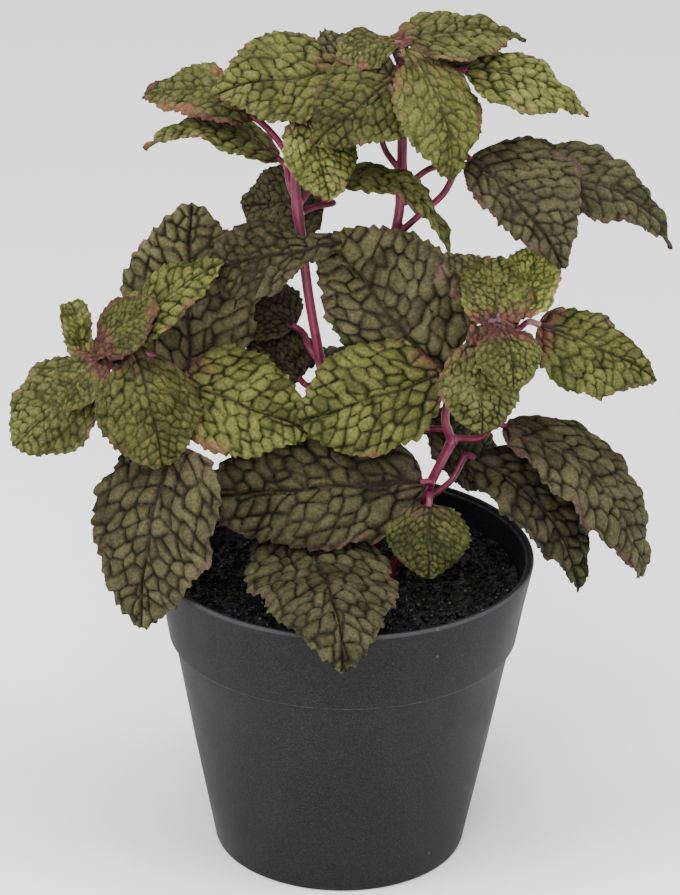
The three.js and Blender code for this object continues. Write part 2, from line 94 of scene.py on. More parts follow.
# The lamps' places and sizes, and the place that they are aimed at, are in metres.
LAMP_TARGET = Vector((0, 0, 0.11))
LAMPS = {
    "lamp_left": {"place": (-0.85, -0.45, 0.75), "size": 0.7, "power": 11},
    "lamp_right": {"place": (0.9, -0.3, 0.6), "size": 0.7, "power": 9},
    "lamp_front": {"place": (-0.15, -1.1, 0.95), "size": 0.7, "power": 15},
    "lamp_top": {"place": (0.0, -0.1, 1.3), "size": 0.9, "power": 17},
}


def new_material(name):
    """A node material, its node tree and its Principled shader."""
    made = bpy.data.materials.new(name)
    made.use_nodes = True
    return made, made.node_tree, made.node_tree.nodes["Principled BSDF"]


def start_piece(*pieces):
    """Deselects all but these pieces, so that the next operator acts on them or on a new piece."""
    if bpy.context.object and bpy.context.object.mode != "OBJECT":
        bpy.ops.object.mode_set(mode="OBJECT")
    bpy.ops.object.select_all(action="DESELECT")
    for piece in pieces:
        piece.select_set(True)
        bpy.context.view_layer.objects.active = piece


start_piece()
bpy.ops.mesh.primitive_plane_add(size=FLOOR_SIDE * MM, location=(0, FLOOR_BEHIND * MM, 0))
floor = bpy.context.object
floor.name = "studio_floor"
bpy.ops.object.transform_apply()
floor_paint, tree, shader = new_material("studio_floor_paint")
shader.inputs["Base Color"].default_value = FLOOR_WHITE
shader.inputs["Roughness"].default_value = 0.9
shader.inputs["Specular IOR Level"].default_value = 0.1
floor.data.materials.append(floor_paint)
floor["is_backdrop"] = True

sky = bpy.data.worlds.new("studio_sky")
bpy.context.scene.world = sky
sky.use_nodes = True
sky.node_tree.nodes["Background"].inputs["Color"].default_value = (1, 1, 1, 1)
sky.node_tree.nodes["Background"].inputs["Strength"].default_value = SKY_STRENGTH

for name, lamp in LAMPS.items():
    place = Vector(lamp["place"])
    aim = (LAMP_TARGET - place).to_track_quat("-Z", "Y").to_euler()
    bpy.ops.object.light_add(type="AREA", location=place, rotation=aim)
    light = bpy.context.object
    light.name = name
    light.data.shape = "DISK"
    light.data.size = lamp["size"]
    light.data.energy = lamp["power"]


# ------------------------------------------------------------------ pot
# A round nursery pot, injection moulded in charcoal plastic with a fine grain. It is a thin
# tapered shell with a wide collar, whose lower edge stands out, and a rounded lip.
# Thin painted highlights run along the collar's lower edge, the outer lip and the inner ledge.
POT_HEIGHT = 75.5
POT_RIM = 44.9
POT_FOOT = 30
POT_WALL = 1.7
POT_FLOOR = 2.5
COLLAR_FOOT = 54.7
COLLAR_FOOT_RADIUS = 41.3
BODY_TOP_RADIUS = 40
POT_SIDES = 160
POT_EDGE_BEVEL = 0.12
POT_BLACK = (0.006, 0.0061, 0.0066, 1)
POT_CHARCOAL = (0.0085, 0.0085, 0.009, 1)
POT_GRAIN = (0.024, 0.024, 0.025, 1)
# The colour of the painted highlights along the pot's edges.
POT_EDGE_HIGHLIGHT = (0.034, 0.034, 0.036, 1)
POT_DUST = (0.06, 0.06, 0.06, 1)


def node(tree, kind, inputs=None, **settings):
    """One node of a material, with its settings, and its inputs set or linked."""
    made = tree.nodes.new(kind)
    for key, value in settings.items():
        setattr(made, key, value)
    for socket, value in (inputs or {}).items():
        if isinstance(value, bpy.types.NodeSocket):
            tree.links.new(value, made.inputs[socket])
        else:
            made.inputs[socket].default_value = value
    return made


def mix(tree, factor, first, second, way="MIX"):
    """A colour between two colours, or one laid over the other in another way."""
    sockets = {0: factor, 6: first, 7: second}
    return node(tree, "ShaderNodeMix", sockets, data_type="RGBA", blend_type=way).outputs[2]


def span(tree, value, start, end, low=0.0, high=1.0):
    """Turns a value between start and end into one between low and high, with soft ends."""
    sockets = {"Value": value, "From Min": start, "From Max": end, "To Min": low, "To Max": high}
    made = node(tree, "ShaderNodeMapRange", sockets, interpolation_type="SMOOTHSTEP")
    return made.outputs["Result"]


def times(tree, first, second, kind="ShaderNodeMath"):
    """One value or vector multiplied by another."""
    return node(tree, kind, {0: first, 1: second}, operation="MULTIPLY").outputs[0]


def plus(tree, first, *others):
    """The sum of two or more values."""
    for other in others:
        first = node(tree, "ShaderNodeMath", {0: first, 1: other}, operation="ADD").outputs[0]
    return first


def speckle(tree, place, scale, detail):
    """Uneven values all over a surface, finer as the scale gets larger."""
    inputs = {"Vector": place, "Scale": scale, "Detail": detail}
    return node(tree, "ShaderNodeTexNoise", inputs).outputs["Fac"]


def relief(tree, shader, height, strength, depth):
    """Lets a surface catch the light as if it stood up where a value is high."""
    bump = node(tree, "ShaderNodeBump", {"Height": height, "Strength": strength, "Distance": depth})
    tree.links.new(bump.outputs["Normal"], shader.inputs["Normal"])


def ring(tree, value, middle, reach):
    """One where a distance is at its middle value, and nothing beyond its reach."""
    away = node(tree, "ShaderNodeMath", {0: value, 1: middle}, operation="SUBTRACT").outputs[0]
    away = node(tree, "ShaderNodeMath", {0: away}, operation="ABSOLUTE").outputs[0]
    return span(tree, away, 0.35 * reach, reach, 1, 0)


# Rings of the wall as radius and height, from the underside up and over the lip to the floor.
POT_RINGS = [
    (POT_FOOT - 1.3, 0),
    (POT_FOOT - 0.4, 0.35),
    (POT_FOOT, 1.3),
    ((POT_FOOT + BODY_TOP_RADIUS) / 2 + 0.1, COLLAR_FOOT / 2),
    (BODY_TOP_RADIUS, COLLAR_FOOT - 0.7),
    (BODY_TOP_RADIUS + 0.25, COLLAR_FOOT - 0.25),
    (COLLAR_FOOT_RADIUS - 0.25, COLLAR_FOOT),
    (COLLAR_FOOT_RADIUS, COLLAR_FOOT + 0.35),
    (COLLAR_FOOT_RADIUS + 1.75, (COLLAR_FOOT + POT_HEIGHT) / 2),
    (POT_RIM - 0.1, POT_HEIGHT - 1.6),
    (POT_RIM, POT_HEIGHT - 0.9),
    (POT_RIM - 0.2, POT_HEIGHT - 0.25),
    (POT_RIM - 0.7, POT_HEIGHT),
    (POT_RIM - 1.2, POT_HEIGHT - 0.25),
    (POT_RIM - 1.35, POT_HEIGHT - 0.8),
    (POT_RIM - 1.95, POT_HEIGHT - 0.95),
    (POT_RIM - 2.15, POT_HEIGHT - 1.6),
    (COLLAR_FOOT_RADIUS - POT_WALL, COLLAR_FOOT),
    (BODY_TOP_RADIUS - POT_WALL, COLLAR_FOOT - 1.8),
    (POT_FOOT - POT_WALL + 0.3, POT_FLOOR),
]

start_piece()
(radius, height), *rings_above = POT_RINGS
bpy.ops.mesh.primitive_circle_add(
    vertices=POT_SIDES, radius=radius * MM, location=(0, 0, height * MM), fill_type="NGON"
)
pot = bpy.context.object
pot.name = "pot_shell"
bpy.ops.object.transform_apply()
bpy.ops.object.mode_set(mode="EDIT")
bpy.ops.mesh.select_all(action="SELECT")
bpy.ops.mesh.flip_normals()
bpy.ops.mesh.select_mode(type="EDGE")
for next_radius, next_height in rings_above:
    bpy.ops.mesh.extrude_edges_move(
        TRANSFORM_OT_translate={"value": (0, 0, (next_height - height) * MM)}
    )
    grow = next_radius / radius
    bpy.ops.transform.resize(value=(grow, grow, 1), center_override=(0, 0, next_height * MM))
    radius, height = next_radius, next_height
bpy.ops.mesh.edge_face_add()
bpy.ops.mesh.select_all(action="SELECT")
bpy.ops.mesh.normals_make_consistent(inside=False)
bpy.ops.object.mode_set(mode="OBJECT")
bevel = pot.modifiers.new("soft_edges", "BEVEL")
bevel.width = POT_EDGE_BEVEL * MM
bevel.segments = 2
bevel.limit_method = "ANGLE"
bevel.angle_limit = math.radians(25)
bpy.ops.object.modifier_apply(modifier=bevel.name)
bpy.ops.object.shade_smooth_by_angle(angle=math.radians(40))

pot_plastic, tree, shader = new_material("charcoal_pot_plastic")
place = node(tree, "ShaderNodeTexCoord").outputs["Object"]
grain = speckle(tree, place, 2400, 3)
cloud = speckle(tree, place, 45, 4)
highlight_breaks = speckle(tree, place, 380, 2)
dots = node(tree, "ShaderNodeTexVoronoi", {"Vector": place, "Scale": 230})
dot_kind = node(tree, "ShaderNodeSeparateColor", {"Color": dots.outputs["Color"]}).outputs["Red"]
dust = times(tree, span(tree, dots.outputs["Distance"], 0.05, 0.14, 1, 0), span(tree, dot_kind, 0.92, 1))
at_height = node(tree, "ShaderNodeSeparateXYZ", {"Vector": place}).outputs["Z"]
flat_place = times(tree, place, (1, 1, 0), kind="ShaderNodeVectorMath")
from_axis = node(tree, "ShaderNodeVectorMath", {0: flat_place}, operation="LENGTH").outputs["Value"]
# Thin lighter lines on the collar's lower edge, the outer lip and the inner ledge are painted highlights;
# noise breaks the collar and ledge lines here and there.
collar_line = ring(tree, at_height, (COLLAR_FOOT + 0.15) * MM, 0.32 * MM)
rim_ring = ring(tree, from_axis, (POT_RIM - 0.15) * MM, 0.35 * MM)
on_lip = span(tree, at_height, (POT_HEIGHT - 1.1) * MM, (POT_HEIGHT - 0.7) * MM)
rim_line = times(tree, rim_ring, on_lip)
ledge_ring = ring(tree, from_axis, (POT_RIM - 1.9) * MM, 0.3 * MM)
on_ledge = span(tree, at_height, (POT_HEIGHT - 1.3) * MM, (POT_HEIGHT - 1) * MM)
ledge_line = times(tree, ledge_ring, on_ledge)
edge_highlight = times(tree, plus(tree, collar_line, ledge_line), span(tree, highlight_breaks, 0.42, 0.6, 0.15, 1))
edge_highlight = node(tree, "ShaderNodeMath", {0: edge_highlight, 1: rim_line}, operation="MAXIMUM").outputs[0]
charcoal = mix(tree, span(tree, cloud, 0.35, 0.65), POT_BLACK, POT_CHARCOAL)
grainy = mix(tree, span(tree, grain, 0.35, 0.75, 0, 0.6), charcoal, POT_GRAIN)
highlighted = mix(tree, edge_highlight, grainy, POT_EDGE_HIGHLIGHT)
dusty = mix(tree, dust, highlighted, POT_DUST)
tree.links.new(dusty, shader.inputs["Base Color"])
tree.links.new(span(tree, cloud, 0.3, 0.7, 0.5, 0.62), shader.inputs["Roughness"])
shader.inputs["Specular IOR Level"].default_value = 0.11
relief(tree, shader, grain, 0.3, 0.1 * MM)
pot.data.materials.append(pot_plastic)
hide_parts("pot")
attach(pot, "root")


# ------------------------------------------------------------------ soil
# Loose near-black granules with small glints, a little below the lip. They fill the pot, so
# the bed goes down to the floor inside, and single granules lie all over its uneven top.
SOIL_TOP = 68.8
SOIL_TOP_RADIUS = 41.35
SOIL_CELLS = 90
GRANULES = 2600
GRANULE_SIZE = (0.45, 1.15)
# The bed's radius at the collar and at the pot's floor, and how far each is below the last.
BED_STEPS = ((COLLAR_FOOT_RADIUS - POT_WALL - 0.5, 13.5), (POT_FOOT - POT_WALL - 0.2, 51.5))
PEAT_BLACK = (0.002, 0.002, 0.0022, 1)
PEAT_BROWN = (0.01, 0.009, 0.008, 1)
PEAT_GLINT = (0.1, 0.095, 0.09, 1)

random = np.random.default_rng(1207)


def lumps(x, y):
    """Height of the soil over its level at a place: broad heaps, and small lumps on them."""
    heap = noise.noise(Vector((x / 9, y / 9, 0.3)))
    lump = noise.noise(Vector((x / 2.2, y / 2.2, 5.1)))
    return 0.9 * heap + 0.45 * lump


start_piece()
bpy.ops.mesh.primitive_grid_add(
    x_subdivisions=SOIL_CELLS, y_subdivisions=SOIL_CELLS, size=2, location=(0, 0, 0)
)
soil = bpy.context.object
soil.name = "soil_bed"
# The square grid is drawn into a round one.
for vertex in soil.data.vertices:
    x, y, _ = vertex.co
    round_x = x * math.sqrt(1 - y * y / 2) * SOIL_TOP_RADIUS
    round_y = y * math.sqrt(1 - x * x / 2) * SOIL_TOP_RADIUS
    vertex.co = (round_x * MM, round_y * MM, (SOIL_TOP + lumps(round_x, round_y)) * MM)
bpy.ops.object.mode_set(mode="EDIT")
bpy.ops.mesh.select_all(action="SELECT")
bpy.ops.mesh.region_to_loop()
radius_above = SOIL_TOP_RADIUS
for radius, drop in BED_STEPS:
    bpy.ops.mesh.extrude_edges_move(TRANSFORM_OT_translate={"value": (0, 0, -drop * MM)})
    shrink = radius / radius_above
    bpy.ops.transform.resize(value=(shrink, shrink, 1), center_override=(0, 0, 0))
    radius_above = radius
bpy.ops.mesh.edge_face_add()
bpy.ops.mesh.select_all(action="SELECT")
bpy.ops.mesh.normals_make_consistent(inside=False)
bpy.ops.object.mode_set(mode="OBJECT")

start_piece()
bpy.ops.mesh.primitive_ico_sphere_add(subdivisions=1, radius=1, location=(0, 0, 0))
granule = bpy.context.object
granule_points = np.array([vertex.co for vertex in granule.data.vertices])
granule_faces = np.array([polygon.vertices for polygon in granule.data.polygons])
bpy.data.objects.remove(granule)
points, faces = [], []
for number in range(GRANULES):
    radius = (SOIL_TOP_RADIUS - 0.9) * math.sqrt(random.random())
    angle = random.random() * math.tau
    x, y = radius * math.cos(angle), radius * math.sin(angle)
    size = random.uniform(*GRANULE_SIZE) * random.uniform(0.6, 1)
    uneven = granule_points * random.uniform(0.65, 1.2, (len(granule_points), 1))
    turned = np.array(Euler(random.random(3) * math.tau).to_matrix())
    lying = (uneven * size * random.uniform(0.6, 1.1, 3)) @ turned.T
    points.append(lying + (x, y, SOIL_TOP + lumps(x, y) + 0.25 * size))
    faces.append(granule_faces + number * len(granule_points))
loose = bpy.data.meshes.new("loose_granules")
loose.from_pydata((np.concatenate(points) * MM).tolist(), [], np.concatenate(faces).tolist())
granules = bpy.data.objects.new("loose_granules", loose)
bpy.context.collection.objects.link(granules)
start_piece(granules, soil)
bpy.ops.object.join()

peat, tree, shader = new_material("black_granules")
place = node(tree, "ShaderNodeTexCoord").outputs["Object"]
tint = speckle(tree, place, 330, 2)
shine = speckle(tree, place, 900, 2)
black = mix(tree, span(tree, tint, 0.45, 0.7), PEAT_BLACK, PEAT_BROWN)
crumbs = node(tree, "ShaderNodeTexVoronoi", {"Vector": place, "Scale": 520})
crumb_kind = node(tree, "ShaderNodeSeparateColor", {"Color": crumbs.outputs["Color"]}).outputs["Red"]
glint = times(tree, span(tree, crumbs.outputs["Distance"], 0.1, 0.3, 1, 0), span(tree, crumb_kind, 0.82, 1))
glinting = mix(tree, glint, black, PEAT_GLINT)
tree.links.new(glinting, shader.inputs["Base Color"])
tree.links.new(span(tree, shine, 0.4, 0.65, 0.3, 0.75), shader.inputs["Roughness"])
shader.inputs["Specular IOR Level"].default_value = 0.18
relief(tree, shader, shine, 0.6, 0.3 * MM)
soil.data.materials.append(peat)
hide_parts("soil")
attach(soil, "root")


# ------------------------------------------------------------------ leaf blades
# A leaf is a separate blade of printed textile, pressed so that blisters stand up in a net of
# sunken veins. Its edge is cut into small uneven teeth that fray a little, and its stalk end
# and parts of its edge are flushed with red. Older leaves are larger, darker and duller.

# What a leaf is given unless its line says otherwise. Roll turns it on its own axis, arch raises
# its middle, most at peak, and cup raises its sides. It is widest at wide, and is fuller below
# and above that as root and point get smaller. Lean narrows its left half, sweep bends it aside,
# and neck is how far it runs on behind its foot. Pale lightens its stalk, blush reddens its foot
# and rim its edge, and patches are brown-red spots: share along, share across, and size. Wave
# ruffles its edge and veins darkens its net. Lit scales the colour of all of it: partly the leaf's
# own tone, partly painted light and painted shade that even out how much light reaches it.
LEAF_DEFAULTS = {
    "roll": 0, "arch": 2, "peak": 0.5, "cup": -1, "wide": 0.42, "root": 0.5, "point": 0.8,
    "lean": 0, "sweep": 0, "neck": 0, "pale": 0.3, "blush": 0.6, "rim": 0.6,
    "patches": (), "wave": 0.6, "veins": 0.9, "lit": 1,
}
BLADE_SPACING = 0.37
BLADE_THICKNESS = 0.4
BLADE_LIFT = 0.2
BASE_HALF_WIDTH = 0.8
NECK_HALF_WIDTH = 3.4
NECK_TAPER = 2.5
NECK_LIFT = 1
NECK_REACH = 3.5
TIP_HALF_WIDTH = 0.15
VEIN_ANGLE = math.radians(64)
CELL_SHARE = 0.1  # a blister's size, as a share of the leaf's length
CELL_SIZES = (1.6, 4.2)
OPEN_CELLS = 0.14  # the share of blisters that run into the next one
VEIN_SHARE = 0.056  # a vein's half width, as a share of a blister
VEIN_HALF_WIDTHS = (0.13, 0.22)
BLISTER_HEIGHT = 0.25  # this and the midrib's depth are shares of a blister as well
MIDRIB_DEPTH = 0.09
TEETH_START = 0.14  # the share of the edge, from the foot up, that has no teeth
TEETH_IN_LENGTH = 34
TOOTH_SIZES = (0.65, 1.15)
TOOTH_REACH = 1.3
FRAY = 0.07
RIM_REACH = 1.3
EDGE_WOBBLE = 0.035
EDGE_STEPS = 600
CRINKLE = 0.8
CRINKLE_SPAN = 4.5


def leaf_axes(leaf):
    """The leaf's foot, length and directions: along it, to its side, and up from its face."""
    base = np.array(leaf["base"], float)
    along = np.array(leaf["tip"], float) - base
    length = np.linalg.norm(along)
    along /= length
    level = np.cross(along, (0, 0, 1))
    level /= np.linalg.norm(level)
    roll = math.radians(leaf["roll"])
    side = math.cos(roll) * level + math.sin(roll) * np.cross(level, along)
    return base, length, along, side, np.cross(side, along)


def on_leaf(leaf, x, y, lift):
    """Points of the bent leaf from distances along it, across it and above its middle layer."""
    base, length, along, side, up = leaf_axes(leaf)
    share = np.clip(x / length, 0.001, None)
    power = math.log(0.5) / math.log(leaf["peak"])
    bent = share**power
    slope = leaf["arch"] * 4 * (1 - 2 * bent) * power * bent / share / length
    rise = leaf["arch"] * 4 * bent * (1 - bent) + slope * np.minimum(x, 0)
    ahead = along + slope[:, None] * up
    ahead /= np.linalg.norm(ahead, axis=1)[:, None]
    outward = np.cross(side, ahead)
    swept = y + leaf["sweep"] * 4 * share * (1 - share)
    raised = leaf["cup"] * (np.abs(y) / (leaf["width"] / 2)) ** 2 + lift
    return (
        base + x[:, None] * along + rise[:, None] * up + swept[:, None] * side + raised[:, None] * outward
    )


def half_width(leaf, share, hand):
    """Half of the leaf's width at shares of its length, on the left (-1) or the right (1)."""
    on_blade = np.clip(share, 0, 1)
    fullness = np.sin(np.pi * on_blade ** (math.log(0.5) / math.log(leaf["wide"])))
    power = np.where(share < leaf["wide"], leaf["root"], leaf["point"])
    smooth = leaf["width"] / 2 * np.clip(fullness, 0, 1) ** power * (1 + leaf["lean"] * hand)
    foot = NECK_HALF_WIDTH if leaf["neck"] else BASE_HALF_WIDTH
    least = foot + (TIP_HALF_WIDTH - foot) * on_blade
    return np.maximum(smooth, least * (1 + NECK_TAPER * np.minimum(share, 0)))


def cut_teeth(edge_length, size, random):
    """How far the cut edge stands out along its length: uneven teeth that point to the tip."""
    start = TEETH_START * edge_length
    places, heights = [0, start], [0, 0]
    while start < edge_length:
        tooth = size * random.uniform(1.9, 4.0)
        height = size * random.uniform(0.35, 1.0)
        places += [start + 0.72 * tooth, start + 0.84 * tooth, start + tooth]
        heights += [0.8 * height, height, -0.15 * height]
        start += tooth
    return places, heights


def crinkles(x, y, scale, random):
    """Soft uneven swellings, mostly between -1 and 1, from five crossed waves."""
    height = np.zeros(len(x))
    for _ in range(5):
        turn, phase = random.random(2) * math.tau
        height += np.sin((x * math.cos(turn) + y * math.sin(turn)) / scale * random.uniform(0.7, 1.4) + phase)
    return height / 3


def vein_net(x, y, length, half, cell, random):
    """How far each point is from the nearest side or cross vein, and its blister's own tone."""
    away = np.abs(y)
    curve = 0.22 * x**2 / length - 0.2 * away**2 / half
    across = (x + curve) * math.sin(VEIN_ANGLE) - away * math.cos(VEIN_ANGLE)
    along = away / math.sin(VEIN_ANGLE)
    rows = np.arange(math.floor(across.min() / cell) - 1, math.ceil(across.max() / cell) + 2)
    columns = np.arange(-1, math.ceil(along.max() / cell) + 2)
    row, column = (grid.ravel() for grid in np.meshgrid(rows, columns, indexing="ij"))
    to_vein, tone = np.zeros(len(x)), np.zeros(len(x))
    # Each half of the leaf has rows of blisters, one for each seed. A point is on the blister of
    # its nearest seed, and the veins run about halfway between the seeds. Between every second
    # pair of rows runs a side vein, which is wider than the others.
    for here in (y < 0, y >= 0):
        warp = 0.1 * cell * crinkles(x, y, 0.35 * cell, random)
        spots = np.stack((across + warp, along - warp), axis=1)[here]
        jitter = random.uniform(-0.3, 0.3, (len(row), 2))
        shift = random.random(len(rows))[row - rows[0]]
        seeds = cell * (np.stack((row, column + shift), axis=1) + 0.5 + jitter)
        extra = random.uniform(0, 0.35, len(row)) * cell**2
        seed_tone = random.random(len(row))
        closed = random.random(len(row)) > OPEN_CELLS
        for opened in np.flatnonzero(~closed[:-1]):
            seed_tone[opened + 1] = seed_tone[opened]
        gaps = ((spots[:, None, :] - seeds) ** 2).sum(axis=2) - extra
        near = np.argpartition(gaps, 6, axis=1)[:, :6]
        near_gaps = np.take_along_axis(gaps, near, axis=1)
        order = np.argsort(near_gaps, axis=1)
        near = np.take_along_axis(near, order, axis=1).T
        near_gaps = np.take_along_axis(near_gaps, order, axis=1).T
        own, soft = near[0], 0.05 * cell
        veins = np.full(len(own), 1e-9)
        for other, gap in zip(near[1:], near_gaps[1:]):
            between = np.linalg.norm(seeds[other] - seeds[own], axis=1)
            to_edge = (gap - near_gaps[0]) / (2 * between)
            same_row = row[other] == row[own]
            main = ~same_row & (np.minimum(row[other], row[own]) % 2 == 0)
            to_edge *= np.where(main, 0.8, 1.15)
            merged = same_row & ~closed[np.minimum(own, other)]
            veins += np.where(merged, 0, np.exp(-to_edge / soft))
        to_vein[here] = np.clip(-soft * np.log(veins), 0, cell)
        tone[here] = seed_tone[own]
    return to_vein, tone


def points_of(mesh):
    """The places of a mesh's points."""
    places = np.empty(len(mesh.vertices) * 3)
    mesh.vertices.foreach_get("co", places)
    return places.reshape(-1, 3)


def mark_points(mesh, marks):
    """Gives each point of a mesh the values that its paint reads."""
    for name, values in marks.items():
        mesh.attributes.new(name, "FLOAT", "POINT").data.foreach_set("value", values)


def blade(name, leaf, random):
    """One finished leaf, in its place."""
    _, length, *_ = leaf_axes(leaf)
    half = leaf["width"] / 2
    cell = min(max(CELL_SHARE * length, CELL_SIZES[0]), CELL_SIZES[1])
    share = np.linspace(-leaf["neck"] / length, 1, EDGE_STEPS)
    size = min(max(length / TEETH_IN_LENGTH, TOOTH_SIZES[0]), TOOTH_SIZES[1])
    edges = {}
    for hand in (-1, 1):
        out = half_width(leaf, share, hand)
        steps = np.stack((np.gradient(share * length), np.gradient(out)), axis=1)
        run = np.cumsum(np.linalg.norm(steps, axis=1))
        phases = random.random(6) * math.tau
        wobble = np.sin(run / 2.9 + phases[0]) + 0.7 * np.sin(run / 1.6 + phases[1])
        out = out * (1 + EDGE_WOBBLE * wobble * np.clip(6 * share * (1 - share), 0, 1))
        steps[:, 1] = np.gradient(out)
        distance = np.linalg.norm(steps, axis=1)
        normal = np.stack((-steps[:, 1], steps[:, 0]), axis=1) / distance[:, None]
        edges[hand] = (out, normal, run, cut_teeth(run[-1], size, random), phases)
    # The grid's steps are spread half by length, and half by the run of the edge, so that they
    # are close enough where the edge turns round the foot and the tip.
    spread = 0.5 * (share - share[0]) / (1 - share[0]) + 0.5 * run / run[-1]

    start_piece()
    bpy.ops.mesh.primitive_grid_add(
        x_subdivisions=math.ceil(0.5 * (length + run[-1]) / BLADE_SPACING),
        y_subdivisions=2 * math.ceil(half / BLADE_SPACING),
        size=1,
        location=(0, 0, 0),
    )
    piece = bpy.context.object
    piece.name = name
    mesh = piece.data
    grid = points_of(mesh)
    u = np.interp(grid[:, 0] + 0.5, spread, share)
    v = -2 * grid[:, 1]
    x, y, wave, edge_run = u * length, np.zeros(len(u)), np.zeros(len(u)), np.zeros(len(u))
    to_edge = np.zeros(len(u))
    for hand, (out, normal, run, (places, heights), phases) in edges.items():
        here = v < 0 if hand < 0 else v >= 0
        reach = np.interp(u[here], share, out)
        s = np.interp(u[here], share, run)
        inward = (1 - np.abs(v[here])) * reach
        stretch = np.clip(1 - inward / TOOTH_REACH, 0, 1) ** 1.5
        fray = random.normal(0, FRAY, here.sum()) * (inward < 0.01)
        tooth = np.interp(s, places, heights) * stretch + fray
        x[here] += np.interp(u[here], share, normal[:, 0]) * tooth
        y[here] = hand * (np.abs(v[here]) * reach + np.interp(u[here], share, normal[:, 1]) * tooth)
        ripple = np.sin(s / 2.1 + phases[2]) + 0.6 * np.sin(s / 1.2 + phases[3])
        wave[here] = ripple * np.abs(v[here]) ** 2.5 * np.clip(u[here] / 0.2, 0, 1)
        edge_run[here] = np.sin(s / 3.1 + phases[4]) + np.sin(s / 5.3 + phases[5])
        to_edge[here] = inward

    to_net, tone = vein_net(x, y, length, half, cell, random)
    vein = min(max(VEIN_SHARE * cell, VEIN_HALF_WIDTHS[0]), VEIN_HALF_WIDTHS[1])
    centre = np.abs(y + 0.25 * np.sin(x / 2.6 + phases[0]))
    midrib = vein * (0.9 - 0.5 * u)
    to_vein = np.minimum(to_net, np.clip(centre - 0.4 * midrib, 0, None))
    dome = 1 - (1 - np.clip(to_vein / (0.4 * cell), 0, 1)) ** 2
    blister = BLISTER_HEIGHT * cell * (0.65 + 0.6 * tone) * dome * (1 - 0.7 * np.exp(-to_edge / 0.5))
    sunken = MIDRIB_DEPTH * cell * np.exp(-((centre / (4 * midrib + 0.3)) ** 2))
    lift = BLADE_LIFT + blister - sunken + leaf["wave"] * wave
    lift += CRINKLE * crinkles(x, y, CRINKLE_SPAN, random) * np.clip(u / 0.3, 0, 1)
    if leaf["neck"]:
        at_foot = np.exp(-((np.clip(x, 0, None) / NECK_REACH) ** 2))
        lift += (NECK_LIFT + 0.5 * crinkles(x, y, 0.8, random)) * at_foot
    mesh.vertices.foreach_set("co", (on_leaf(leaf, x, y, lift) * MM).ravel())

    # What the paint shows of each point: its distance from a vein, in vein widths, the tone of its
    # blister, and how much of a red flush, a brown-red spot or the midrib is there.
    faded = 1 - leaf["veins"] * np.clip(0.45 + to_edge / 4, 0, 1) * (1 + 0.25 * crinkles(x, y, 2.5, random))
    net = np.hypot(to_vein / vein / (1 + 0.2 * crinkles(x, y, 1.2, random)), 1.8 * np.clip(faded, 0, 1))
    rim = leaf["rim"] * np.exp(-to_edge / RIM_REACH) * np.clip(0.6 + 0.5 * edge_run, 0, 1.3)
    blush = leaf["blush"] * np.exp(-((np.clip(x, 0, None) / (0.11 * length + 1.6)) ** 2))
    flush = np.maximum(rim, blush)
    scorch = np.zeros(len(u))
    for patch_share, patch_side, patch_size in leaf["patches"]:
        spot = np.hypot(x - patch_share * length, y - patch_side * half)
        scorch = np.maximum(scorch, np.exp(-((spot / patch_size) ** 2)))
    rib = np.exp(-((centre / (0.03 * half + 0.22)) ** 2)) * np.clip(1.2 - u, 0, 1)
    # lit: the leaf's own tone, and painted light and painted shade that even out how much light reaches it.
    lit = np.full(len(u), leaf["lit"])
    mark_points(mesh, {"net": net, "tone": tone, "flush": flush, "scorch": scorch, "rib": rib, "lit": lit})
    mesh.update()

    shell = piece.modifiers.new("blade_thickness", "SOLIDIFY")
    shell.thickness = BLADE_THICKNESS * MM
    shell.offset = -1
    shell.material_offset = 1
    shell.material_offset_rim = 1
    bpy.ops.object.modifier_apply(modifier=shell.name)
    bpy.ops.object.shade_smooth_by_angle(angle=math.radians(65))
    return piece


# The colours of each age: of a blister's foot and top, which carry painted shade and a painted
# highlight as well as its own tone, of veins and midrib, of flushed veins and blisters, of
# brown-red spots, and of the blade's back.
LEAF_PAINTS = {
    "young": {
        "shade": (0.03, 0.034, 0.008, 1), "light": (0.11, 0.113, 0.031, 1),
        "vein": (0.007, 0.008, 0.002, 1), "midrib": (0.034, 0.03, 0.018, 1),
        "flush_vein": (0.016, 0.004, 0.006, 1), "flush": (0.062, 0.023, 0.022, 1),
        "scorch": (0.13, 0.068, 0.036, 1),
        "back_shade": (0.04, 0.03, 0.015, 1), "back_light": (0.06, 0.05, 0.026, 1),
    },
    "green": {
        "shade": (0.024, 0.026, 0.006, 1), "light": (0.083, 0.085, 0.027, 1),
        "vein": (0.006, 0.006, 0.002, 1), "midrib": (0.028, 0.024, 0.018, 1),
        "flush_vein": (0.013, 0.004, 0.005, 1), "flush": (0.052, 0.021, 0.02, 1),
        "scorch": (0.125, 0.05, 0.032, 1),
        "back_shade": (0.028, 0.02, 0.012, 1), "back_light": (0.045, 0.036, 0.02, 1),
    },
    "old": {
        "shade": (0.017, 0.015, 0.007, 1), "light": (0.056, 0.051, 0.023, 1),
        "vein": (0.0045, 0.004, 0.002, 1), "midrib": (0.024, 0.021, 0.017, 1),
        "flush_vein": (0.01, 0.005, 0.005, 1), "flush": (0.043, 0.024, 0.021, 1),
        "scorch": (0.062, 0.038, 0.028, 1),
        "back_shade": (0.013, 0.007, 0.006, 1), "back_light": (0.024, 0.016, 0.013, 1),
    },
}
WEAVE_DARK = (0.68, 0.68, 0.68, 1)
WEAVE_LIGHT = (1.25, 1.25, 1.25, 1)


